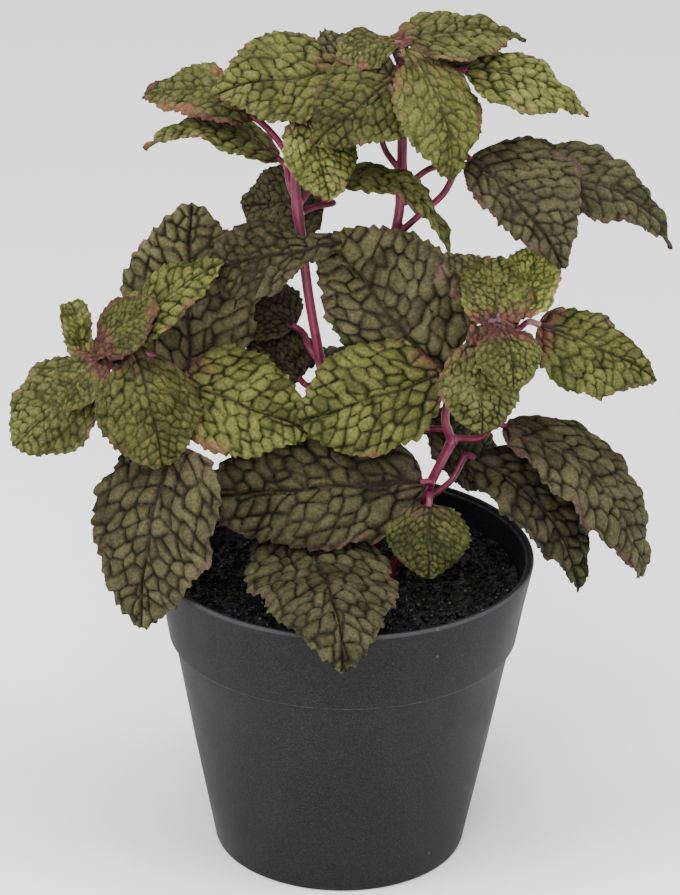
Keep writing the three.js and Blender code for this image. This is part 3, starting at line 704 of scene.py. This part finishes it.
def blade_material(name, paint):
    """Printed textile: a tone for each blister, painted shade at its foot and a painted highlight on its top,
    dark soft veins, red flushes and a fine weave.
    """
    made, tree, shader = new_material(name)
    place = node(tree, "ShaderNodeTexCoord").outputs["Object"]
    net, tone, flush, scorch, rib, lit = (
        node(tree, "ShaderNodeAttribute", attribute_name=value).outputs["Fac"]
        for value in ("net", "tone", "flush", "scorch", "rib", "lit")
    )
    blotch, mottle, speck = (speckle(tree, place, scale, 3) for scale in (110, 420, 1500))
    # Each blister is painted darker at its foot by the veins and lighter on its top. This is painted shade
    # and a painted highlight on the dome, mixed with its own tone, blotches and mottling.
    shading_and_tone = plus(
        tree, span(tree, net, 0.6, 3.8, 0, 0.6), span(tree, tone, 0, 1, -0.12, 0.3),
        span(tree, blotch, 0.35, 0.65, -0.25, 0.2), span(tree, mottle, 0.35, 0.65, -0.15, 0.15),
    )
    cells = mix(tree, shading_and_tone, paint["shade"], paint["light"])
    on_cell = span(tree, plus(tree, net, span(tree, mottle, 0.3, 0.7, -0.3, 0.3)), 0.15, 1.3)
    printed_and_shaded = mix(tree, on_cell, paint["vein"], cells)
    red_cells = mix(tree, plus(tree, shading_and_tone, -0.25), paint["flush"], paint["scorch"])
    red = mix(tree, on_cell, paint["flush_vein"], red_cells)
    uneven = plus(tree, span(tree, blotch, 0.3, 0.7, -0.3, 0.2), span(tree, mottle, 0.3, 0.7, -0.2, 0.2))
    flushing = plus(tree, flush, uneven)
    flushed = mix(tree, span(tree, flushing, 0.15, 0.95, 0, 0.95), printed_and_shaded, red)
    ribbed = mix(tree, span(tree, rib, 0.3, 1.0, 0, 0.55), flushed, paint["midrib"])
    scorching = plus(tree, scorch, span(tree, mottle, 0.3, 0.7, -0.25, 0.25))
    scorched = mix(tree, span(tree, scorching, 0.25, 0.85, 0, 0.85), ribbed, paint["scorch"])
    woven = mix(tree, span(tree, speck, 0.3, 0.72), WEAVE_DARK, WEAVE_LIGHT)
    # The whole leaf is scaled by lit: its own tone, and painted light and painted shade for how much light
    # reaches it.
    leaf_tone_and_light = node(tree, "ShaderNodeCombineColor", {"Red": lit, "Green": lit, "Blue": lit}).outputs["Color"]
    speckled = mix(tree, 1.0, mix(tree, 1.0, scorched, woven, "MULTIPLY"), leaf_tone_and_light, "MULTIPLY")
    tree.links.new(speckled, shader.inputs["Base Color"])
    shader.inputs["Roughness"].default_value = 0.6
    shader.inputs["Specular IOR Level"].default_value = 0.08
    relief(tree, shader, speck, 0.4, 0.1 * MM)
    return made


def underside_material(name, paint):
    """The back of the textile: plain, duller and more fibrous than its face."""
    made, tree, shader = new_material(name)
    place = node(tree, "ShaderNodeTexCoord").outputs["Object"]
    net = node(tree, "ShaderNodeAttribute", attribute_name="net").outputs["Fac"]
    fibres = speckle(tree, place, 1300, 4)
    plain = mix(tree, span(tree, net, 0.3, 1.5), paint["back_light"], paint["back_shade"])
    fibrous = mix(tree, span(tree, fibres, 0.3, 0.75, 0, 0.5), plain, paint["back_light"])
    tree.links.new(fibrous, shader.inputs["Base Color"])
    shader.inputs["Roughness"].default_value = 0.8
    shader.inputs["Specular IOR Level"].default_value = 0.1
    relief(tree, shader, fibres, 0.6, 0.15 * MM)
    return made


BLADE_MATERIALS = {
    age: (blade_material(f"{age}_leaf_face", paint), underside_material(f"{age}_leaf_back", paint))
    for age, paint in LEAF_PAINTS.items()
}


# ------------------------------------------------------------------ stems
# Each stem is moulded in one piece with its branches and leaf stalks, in satin maroon plastic.
# It has a soft square section, is thicker where stalks leave it, and pales towards the leaves.
# A painted highlight runs along the ridges of its section.
STEM_RADIUS = 1.1
BRANCH_RADIUS = 0.96
STALK_RADIUS = 0.78
STALK_RUN_IN = 2.2
ROOT_HEIGHTS = (57.3, 63.05, 70)  # from deep in the granules to just above them
STEM_VOXEL = 0.22
SECTION_SIDES = 24
SECTION_SQUARENESS = 0.07
JOINT_SWELLING = 0.18
JOINT_REACH = 1.7
PALE_REACH = 3
BUD_CRUMPLE = 0.5
BUD_REACH = 2.6  # in radii of the bud
STEM_DARK = (0.085, 0.006, 0.022, 1)
STEM_MAROON = (0.145, 0.013, 0.042, 1)
# The colour of the painted highlight along the ridges of the section.
STEM_RIDGE_HIGHLIGHT = (0.26, 0.07, 0.13, 1)
STALK_PALE = (0.36, 0.2, 0.2, 1)
BUD_DARK = (0.022, 0.008, 0.01, 1)
BUD_LIGHT = (0.105, 0.045, 0.05, 1)

start_piece()
section_data = bpy.data.curves.new("stem_section", "CURVE")
section_spline = section_data.splines.new("POLY")
section_spline.points.add(SECTION_SIDES - 1)
for number, point in enumerate(section_spline.points):
    angle = number / SECTION_SIDES * math.tau
    radius = 1 + SECTION_SQUARENESS * math.cos(4 * angle)
    point.co = (radius * math.cos(angle), radius * math.sin(angle), 0, 1)
section_spline.use_cyclic_u = True
section = bpy.data.objects.new("stem_section", section_data)
section.scale = (MM, MM, MM)
bpy.context.collection.objects.link(section)


def smooth_path(points, step=0.8):
    """Closely spaced points of one smooth curve through the given ones, as a rod would bend."""
    points = [np.array(point, float) for point in points]
    points = [2 * points[0] - points[1], *points, 2 * points[-1] - points[-2]]
    path = []
    for before, start, end, after in zip(points, points[1:], points[2:], points[3:]):
        knots = [math.sqrt(np.linalg.norm(b - a)) for a, b in ((before, start), (start, end), (end, after))]
        leave = ((start - before) / knots[0] - (end - before) / (knots[0] + knots[1])
                 + (end - start) / knots[1]) * knots[1]
        arrive = ((end - start) / knots[1] - (after - start) / (knots[1] + knots[2])
                  + (after - end) / knots[2]) * knots[1]
        count = max(2, round(np.linalg.norm(end - start) / step))
        for t in np.arange(count) / count:
            path.append(
                start + leave * t + (3 * (end - start) - 2 * leave - arrive) * t**2
                + (2 * (start - end) + leave + arrive) * t**3
            )
    return np.array([*path, points[-2]])


def stalk_points(leaf):
    """A leaf's stalk: from the stem to the leaf's foot, the last stretch in line with the leaf."""
    base = np.array(leaf["base"], float)
    ahead = on_leaf(leaf, np.array([0.02 * leaf_axes(leaf)[1]]), np.zeros(1), np.zeros(1))[0] - base
    ahead /= np.linalg.norm(ahead)
    return [*leaf["stalk"], base - STALK_RUN_IN * ahead, base + 0.6 * ahead]


def moulded_stem(name, path, branches, leaves, buds):
    """One stem with its branches, stalks and buds as one body, marked where its paint changes."""
    data = bpy.data.curves.new(name, "CURVE")
    data.dimensions = "3D"
    data.bevel_mode = "OBJECT"
    data.bevel_object = section
    data.use_fill_caps = True
    joints = np.array([leaf["stalk"][0] for leaf in leaves] + [branch[0] for branch in branches])
    rods = [(path, STEM_RADIUS)] + [(branch, BRANCH_RADIUS) for branch in branches]
    rods += [(stalk_points(leaf), STALK_RADIUS) for leaf in leaves]
    centres = []
    for route, radius in rods:
        smooth = smooth_path(route)
        thick = []
        spline = data.splines.new("POLY")
        spline.points.add(len(smooth) - 1)
        for place, point in zip(smooth, spline.points):
            nearest = np.linalg.norm(joints - place, axis=1).min()
            point.co = (*(place * MM), 1)
            point.radius = radius * (1 + JOINT_SWELLING * math.exp(-((nearest / JOINT_REACH) ** 2)))
            thick.append(point.radius)
        coarse = np.arange(len(smooth))
        fine = np.linspace(0, coarse[-1], 6 * len(smooth))
        rod = [np.interp(fine, coarse, column) for column in (*smooth.T, thick)]
        centres.append(np.column_stack(rod))
    piece = bpy.data.objects.new(name, data)
    bpy.context.collection.objects.link(piece)
    start_piece(piece)
    bpy.ops.object.convert(target="MESH")
    piece = bpy.context.object
    for *bud_place, bud_radius in buds:
        start_piece()
        bpy.ops.mesh.primitive_ico_sphere_add(subdivisions=4, radius=1, location=(0, 0, 0))
        bud = bpy.context.object
        for vertex in bud.data.vertices:
            crumple = noise.noise(vertex.co * 2.3 + Vector(bud_place)) + 0.5 * noise.noise(vertex.co * 5)
            away = vertex.co * bud_radius * (1 + BUD_CRUMPLE * crumple)
            vertex.co = (away + Vector(bud_place)) * MM
        start_piece(bud, piece)
        bpy.ops.object.join()
    # All rods and buds become one skin, and its joints are softened.
    fuse = piece.modifiers.new("moulded_in_one", "REMESH")
    fuse.mode = "VOXEL"
    fuse.voxel_size = STEM_VOXEL * MM
    soften = piece.modifiers.new("soft_joints", "SMOOTH")
    soften.factor = 0.5
    soften.iterations = 3
    bpy.ops.object.modifier_apply(modifier=fuse.name)
    bpy.ops.object.modifier_apply(modifier=soften.name)
    bpy.ops.object.shade_smooth()
    spots = points_of(piece.data) / MM
    centres = np.concatenate(centres)
    # The ridges of the section are where the skin is further from its rod's middle than the radius; the paint
    # lightens them as a painted highlight.
    to_axis, ridge = np.full(len(spots), np.inf), np.zeros(len(spots))
    for *centre, radius in centres:
        distance = np.linalg.norm(spots - centre, axis=1)
        closer = distance < to_axis
        to_axis[closer] = distance[closer]
        ridge[closer] = distance[closer] / radius
    marks = {"ridge": ridge, "pale": np.zeros(len(spots)), "bud": np.zeros(len(spots))}
    for leaf in leaves:
        nearest = np.linalg.norm(spots - np.array(leaf["base"]), axis=1)
        marks["pale"] = np.maximum(marks["pale"], leaf["pale"] * np.exp(-((nearest / PALE_REACH) ** 2)))
    for *bud_place, bud_radius in buds:
        nearest = np.linalg.norm(spots - bud_place, axis=1)
        marks["bud"] = np.maximum(marks["bud"], np.clip(BUD_REACH - nearest / bud_radius, 0, 1))
    mark_points(piece.data, marks)
    return piece


stem_plastic, tree, shader = new_material("maroon_stem_plastic")
place = node(tree, "ShaderNodeTexCoord").outputs["Object"]
streak = speckle(tree, place, 160, 3)
mottle = speckle(tree, place, 900, 3)
pale, ridge, bud = (
    node(tree, "ShaderNodeAttribute", attribute_name=mark).outputs["Fac"] for mark in ("pale", "ridge", "bud")
)
maroon = mix(tree, span(tree, streak, 0.35, 0.65), STEM_DARK, STEM_MAROON)
# The ridges of the section are painted lighter: a painted highlight.
ridge_highlighted = mix(tree, span(tree, ridge, 1.0, 1.1, 0, 0.5), maroon, STEM_RIDGE_HIGHLIGHT)
tipped = mix(tree, span(tree, pale, 0.15, 1.0, 0, 0.9), ridge_highlighted, STALK_PALE)
crumpled = mix(tree, span(tree, mottle, 0.4, 0.6), BUD_DARK, BUD_LIGHT)
tree.links.new(mix(tree, bud, tipped, crumpled), shader.inputs["Base Color"])
tree.links.new(span(tree, mottle, 0.3, 0.7, 0.32, 0.5), shader.inputs["Roughness"])
shader.inputs["Specular IOR Level"].default_value = 0.3
shader.inputs["Subsurface Weight"].default_value = 0.05
shader.inputs["Subsurface Scale"].default_value = 1 * MM
relief(tree, shader, mottle, 0.3, 0.1 * MM)


def add_stem(name, seed, foot, path, leaves, branches=(), buds=()):
    """One stem in its place, and all its leaves, which replace the nodes of the same names."""
    rooted = [(*foot, height) for height in ROOT_HEIGHTS] + list(path)
    stem = moulded_stem(f"moulding_{name}", rooted, list(branches), leaves, buds)
    stem.data.materials.append(stem_plastic)
    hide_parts(f"stem_{name}")
    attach(stem, "root")
    for number, leaf in enumerate(leaves, start=1):
        piece = blade(f"blade_{name}_{number}", leaf, np.random.default_rng([seed, number]))
        face, back = BLADE_MATERIALS[leaf["age"]]
        piece.data.materials.append(face)
        piece.data.materials.append(back)
        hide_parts(f"leaf_{name}_{number}")
        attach(piece, "root")


def leaf(age, stalk, base, tip, width, **form):
    """One line of a stem's list of leaves."""
    return LEAF_DEFAULTS | {"age": age, "stalk": stalk, "base": base, "tip": tip, "width": width} | form


# ------------------------------------------------------------------ tall left stem
# The tall stem on the left. Its crown has two bright leaves to the left, with one under them,
# one that hangs towards the front, and a dark one behind. A long narrow leaf arches to the
# right below the crown, and older leaves stand out halfway up.
add_stem("tall_left", seed=11, foot=(3, 4), path=[
    (-6, 2, 122), (-9, 1, 139), (-11, 0, 154.5), (-12.5, -1, 169.5), (-11, 1, 183.5),
], leaves=[
    leaf("green", [(-13, 0, 172.5), (-16.5, 1, 178)], (-22.5, 3, 183), (-48, 12, 184.5), 17,
         roll=22, arch=4, cup=0, lean=0.1, lit=1.15, veins=0.6, rim=1.1,
         patches=[(0.75, -0.75, 3), (0.5, -0.9, 3.2), (0.35, 0.95, 2.5)]),
    leaf("young", [(-11, 1, 183), (-7, 3, 186)], (-3.5, 4, 193), (-31.5, -4, 190.5), 24,
         roll=38, arch=3, cup=0, wide=0.46, point=1, neck=3, blush=0.5, lit=0.9),
    leaf("young", [(-11, 1, 183)], (-10.5, -5, 186), (-5, -14, 169.5), 19.5,
         cup=-2, lean=-0.12, neck=4, blush=0.8, lit=1.5, patches=[(0.55, 0.95, 1.5)]),
    leaf("green", [(-12, 0, 163), (-14, 1.5, 167.5)], (-16.5, 4, 172.5), (-47.5, 4, 175), 21,
         roll=4, arch=6, wide=0.4, point=1.3, lean=0.2, lit=1.5),
    leaf("old", [(-11.5, 0, 161), (-8, 4, 161)], (-6, 9, 160), (-25, 17, 156), 18,
         roll=65, arch=1, cup=0, point=0.6, root=0.4),
    leaf("green", [(-11.5, 0, 163.5)], (-6.5, 1, 168), (23, -10, 156), 15,
         roll=-2, arch=9, cup=0, wide=0.35, point=0.6),
    leaf("old", [(-10.7, 0, 152), (-5.5, -3, 155)], (-6.5, -6.6, 155.2), (-33, 0, 146.5), 19,
         roll=50, arch=1, wide=0.55, point=0.65, root=0.9, neck=5, blush=0.3),
    leaf("old", [(-6.5, 2, 123), (-9, 4, 126)], (-12.5, 10, 128.5), (-26.5, 20, 132), 16,
         roll=35, arch=1, cup=0),
    leaf("old", [(-5.5, 2, 119)], (-11, 7, 116.5), (-23, 12, 124.5), 20, roll=35, arch=1, cup=0),
    leaf("old", [(-6, 2, 120), (-5, 9, 119)], (-4, 18, 117), (-19, 47, 98), 26, arch=4, cup=-2),
], buds=[(-10.5, 0.5, 185, 1.7)])


# ------------------------------------------------------------------ tall right stem
# The tall stem on the right carries the top of the plant: a pair that spreads left and right,
# a broad leaf that hangs towards the front, bright leaves to the sides, and a heavy dark pair
# that hangs over to the right.
add_stem("tall_right", seed=12, foot=(7.5, 6.5), path=[
    (9.5, 6, 112), (10.5, 5, 153), (11.5, 4, 163), (11.5, 4, 182.5), (11, 4, 197),
], leaves=[
    leaf("green", [(11, 4, 195)], (10, 5, 200.5), (-3.5, 0, 198.5), 11.5,
         roll=22, wide=0.55, point=0.6, pale=1, lit=1.1, veins=0.7, patches=[(0.75, -0.9, 2)]),
    leaf("green", [(11, 4, 195)], (11.5, 7, 200), (39.5, 17, 197.5), 23,
         roll=-8, arch=3, wide=0.36, point=1.35, lean=0.1, neck=2, blush=0.8, veins=0.75),
    leaf("young", [(11, 4, 194)], (13.5, -2, 198.5), (22.5, -12, 175), 25,
         roll=4, arch=3, point=0.7, sweep=-1, neck=3, blush=0.55, lit=0.94, veins=0.45,
         patches=[(0.7, 1, 2.5), (0.55, -1, 2)]),
    leaf("young", [(11.5, 4, 187.5)], (9.5, -3.5, 194.5), (-8, -17, 184), 24, roll=28, wide=0.36, lit=0.64),
    leaf("young", [(11.5, 4, 187.5), (17.5, 5, 190.5)], (25.5, 7, 193.5), (54, 7, 183.5), 20,
         roll=-18, arch=4, root=0.7, point=1, lean=0.1, lit=1.25),
    leaf("old", [(11.5, 4, 170), (8, 6, 174)], (6, 9, 178), (-7, 20, 198), 23, roll=25, cup=0, lit=1.5),
    leaf("old", [(11.5, 4, 165), (18, 6, 170)], (30, 16, 166.5), (74, 14, 148.5), 26,
         roll=-20, arch=9, peak=0.6, cup=-2, wide=0.5, point=1.2, lean=-0.25, lit=1.2, veins=0.7),
    leaf("old", [(11.5, 5, 154.5), (16, 4, 159.5), (21.5, 3, 165.5)], (27, 2, 174), (48.5, -12, 153.5), 24,
         roll=-35, arch=6, lean=-0.45, lit=1.2, rim=1.1),
    leaf("green", [(11, 4, 190)], (17, 12, 193), (30, 31, 182), 20, arch=3),
    leaf("old", [(9.5, 6, 125)], (7, 13, 134), (12, 46, 112), 28, arch=4, cup=-2),
], buds=[(11, 4.5, 198.5, 1.6)])


# ------------------------------------------------------------------ low right stem
# The low stem on the right. A branch of it carries a rosette of five small bright leaves and
# a broad one to the left, and a large dark leaf leans up to the left from behind them. The
# stem itself has a dark drooping pair, a wide dark leaf in front, and a small bright one.
add_stem("low_right", seed=13, foot=(11, 0), path=[
    (14.5, -1, 79), (18, -2, 89), (20, -2, 94.5), (25, -2, 106),
], branches=[
    [(24.7, -2, 105.3), (23, -3, 111), (24, -1, 117.5), (28.5, -1, 127.5), (34, -4, 135.5)],
], leaves=[
    leaf("young", [(33.5, -3.7, 135)], (34, -6, 137), (32.5, 1, 150), 16,
         arch=1, cup=0, root=0.35, point=0.35, neck=3, blush=1.2, lit=1.1, veins=0.7),
    leaf("young", [(33, -3.5, 134.5)], (37.5, 1, 135.5), (44.5, 11, 149), 18,
         arch=1, cup=0, root=0.45, point=0.4, neck=4, blush=1.2, lit=3.5, veins=0.7,
         patches=[(0.95, 0.8, 2.5)]),
    leaf("young", [(33.5, -3.7, 135)], (35, -9, 135.5), (38, -15.5, 125), 17,
         point=0.6, neck=4, blush=1.2, veins=0.75),
    leaf("green", [(31, -2.5, 131.5)], (30, -9, 133), (31, -17, 114), 19,
         point=0.6, neck=4, blush=0.8, lit=1.12),
    leaf("young", [(33.5, -3.7, 134.7), (38.5, -2, 133.5)], (44, 2, 133.5), (71.5, 0, 120.5), 22,
         roll=-34, cup=-2, point=0.9, lean=0.15, pale=1, blush=1.1, lit=0.9, veins=0.8),
    leaf("young", [(24.8, -1, 119)], (22, -3, 122.5), (-10.5, -12, 114), 26,
         roll=65, arch=1, wide=0.5, point=0.6, blush=0.9,
         patches=[(0.63, -1, 2.4), (0.9, -0.9, 2)]),
    leaf("old", [(30, -2, 130), (33.5, 4, 133.5)], (32, 12.5, 132), (13, 17.5, 140.5), 26,
         roll=35, arch=1, cup=0, lean=-0.15, lit=4, veins=0.6),
    leaf("old", [(25, -2, 106), (31.5, 0, 105.5)], (37, 2, 107.5), (69.5, -8, 74), 28,
         roll=-10, arch=9.5, cup=-2, wide=0.5, root=0.38, lean=-0.15, lit=1.2, rim=1.1),
    leaf("old", [(19, -2, 90), (25, -1, 95)], (30, 0, 100), (55.5, -14, 73), 25,
         roll=-18, arch=8, cup=-2, point=0.9, lean=-0.35, lit=0.74),
    leaf("old", [(18.5, -2, 90)], (18, -5, 96), (-33.5, -11, 94), 28,
         roll=60, arch=3, point=0.5, lit=1.05, rim=1, patches=[(0.4, -1, 2)]),
    leaf("young", [(17.5, -2, 88)], (19.5, -13, 94), (19.5, -21, 79.5), 19, arch=1, point=0.6, lit=0.58),
    leaf("old", [(24, -2, 108.5)], (19, 8, 103), (39, 17, 88.5), 21, roll=-40),
    leaf("old", [(24.8, -1, 119)], (22.1, 2, 120.3), (-4.5, 3, 154), 31,
         roll=86, arch=3, cup=-0.5, wide=0.5, root=0.55, point=0.5, lean=0.2, lit=1.7,
         patches=[(0.5, 1, 2.2), (0.36, 1, 1.8)]),
], buds=[(34.3, -5.5, 136.2, 3.0)])


# ------------------------------------------------------------------ low left stem
# The low stem on the left leans far out. Its end carries a rosette of six leaves, with two
# more towards the middle of the plant. A long leaf hangs over the pot's side, and the lowest
# leaf lies over the front of the rim.
add_stem("low_left", seed=14, foot=(-1.5, -2), path=[
    (-4.5, -1, 75), (-13, 2, 81.5), (-26.5, 3, 99.5), (-39.5, 0, 119.5), (-47, -3, 126.5), (-55.5, -6, 127),
], leaves=[
    leaf("green", [(-54, -5.5, 127)], (-61.2, -5, 125.2), (-64.2, -1, 138), 8.2,
         arch=1, cup=0, wide=0.5, root=0.25, point=0.12, neck=2, blush=0.8, lit=1.8, veins=0.6),
    leaf("young", [(-54, -5.5, 127)], (-56, -9, 130.5), (-43.5, -9, 141.5), 17,
         roll=-30, point=0.6, neck=3, blush=1.7, lit=0.73, veins=0.5, rim=1.4,
         patches=[(0.92, 0.2, 2.5)]),
    leaf("young", [(-52, -5, 127)], (-53, -6, 130.5), (-29, -5, 150.5), 18,
         roll=-24, cup=0, neck=3, blush=0.8, lit=1.05),
    leaf("young", [(-54.5, -5.7, 127)], (-56.5, -10, 127), (-67, -17, 118.5), 13,
         roll=25, arch=1, cup=0, neck=3, blush=1.4, lit=0.8, veins=0.55),
    leaf("green", [(-54, -5.5, 127)], (-57.5, -5, 123), (-76, -12, 106.5), 23,
         roll=30, arch=1, cup=0, wide=0.5, point=0.55, neck=3, blush=0.8, lit=1.3, veins=0.7),
    leaf("young", [(-52, -5, 127)], (-49, -12, 128.5), (-42, -22, 107), 27,
         wide=0.5, root=0.36, point=0.6, neck=4, blush=0.7, lit=0.66, veins=0.65),
    leaf("old", [(-39, 0, 119)], (-37, 5, 118.5), (-37, 17, 156), 32, cup=0, point=0.7, lit=1.8, rim=1.1),
    leaf("young", [(-40.5, -0.3, 120.5)], (-38, -3, 119), (-7.5, -9, 110), 26,
         roll=-50, wide=0.38, lit=1.15, patches=[(0.4, 1, 3), (0.85, -0.9, 3)]),
    leaf("old", [(-30.5, 2, 105.5), (-35, -6, 107)], (-39.5, -13, 108), (-46.5, -28, 68.5), 32,
         roll=-4, root=0.36, point=0.7, sweep=1, lit=1.3,
         patches=[(0.6, -1, 2.2), (0.82, -1, 2)]),
    leaf("old", [(-5.5, -0.5, 75.8), (-9, -1, 80)], (-9.5, -2.5, 83.5), (0.5, -52, 71), 34,
         arch=6, peak=0.7, cup=-2, point=0.62),
    leaf("old", [(-36.5, 1, 114)], (-38, 8, 113), (-44, 38, 104), 24, arch=3, cup=-2),
    leaf("old", [(-24, 3, 96.5)], (-14, 10, 100), (-27, 41, 88), 28, arch=4, cup=-2),
], buds=[(-54.5, -7.5, 128.3, 2.8), (-53, -8.5, 126.8, 1.9)])

bpy.data.objects.remove(section)


# ------------------------------------------------------------------ size
# The plant's box in metres, first as its solids have it, and then as the finished pieces do.
visual_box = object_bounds()
size = {"cad": [list(corner) for corner in cad_box], "visual": [list(corner) for corner in visual_box]}
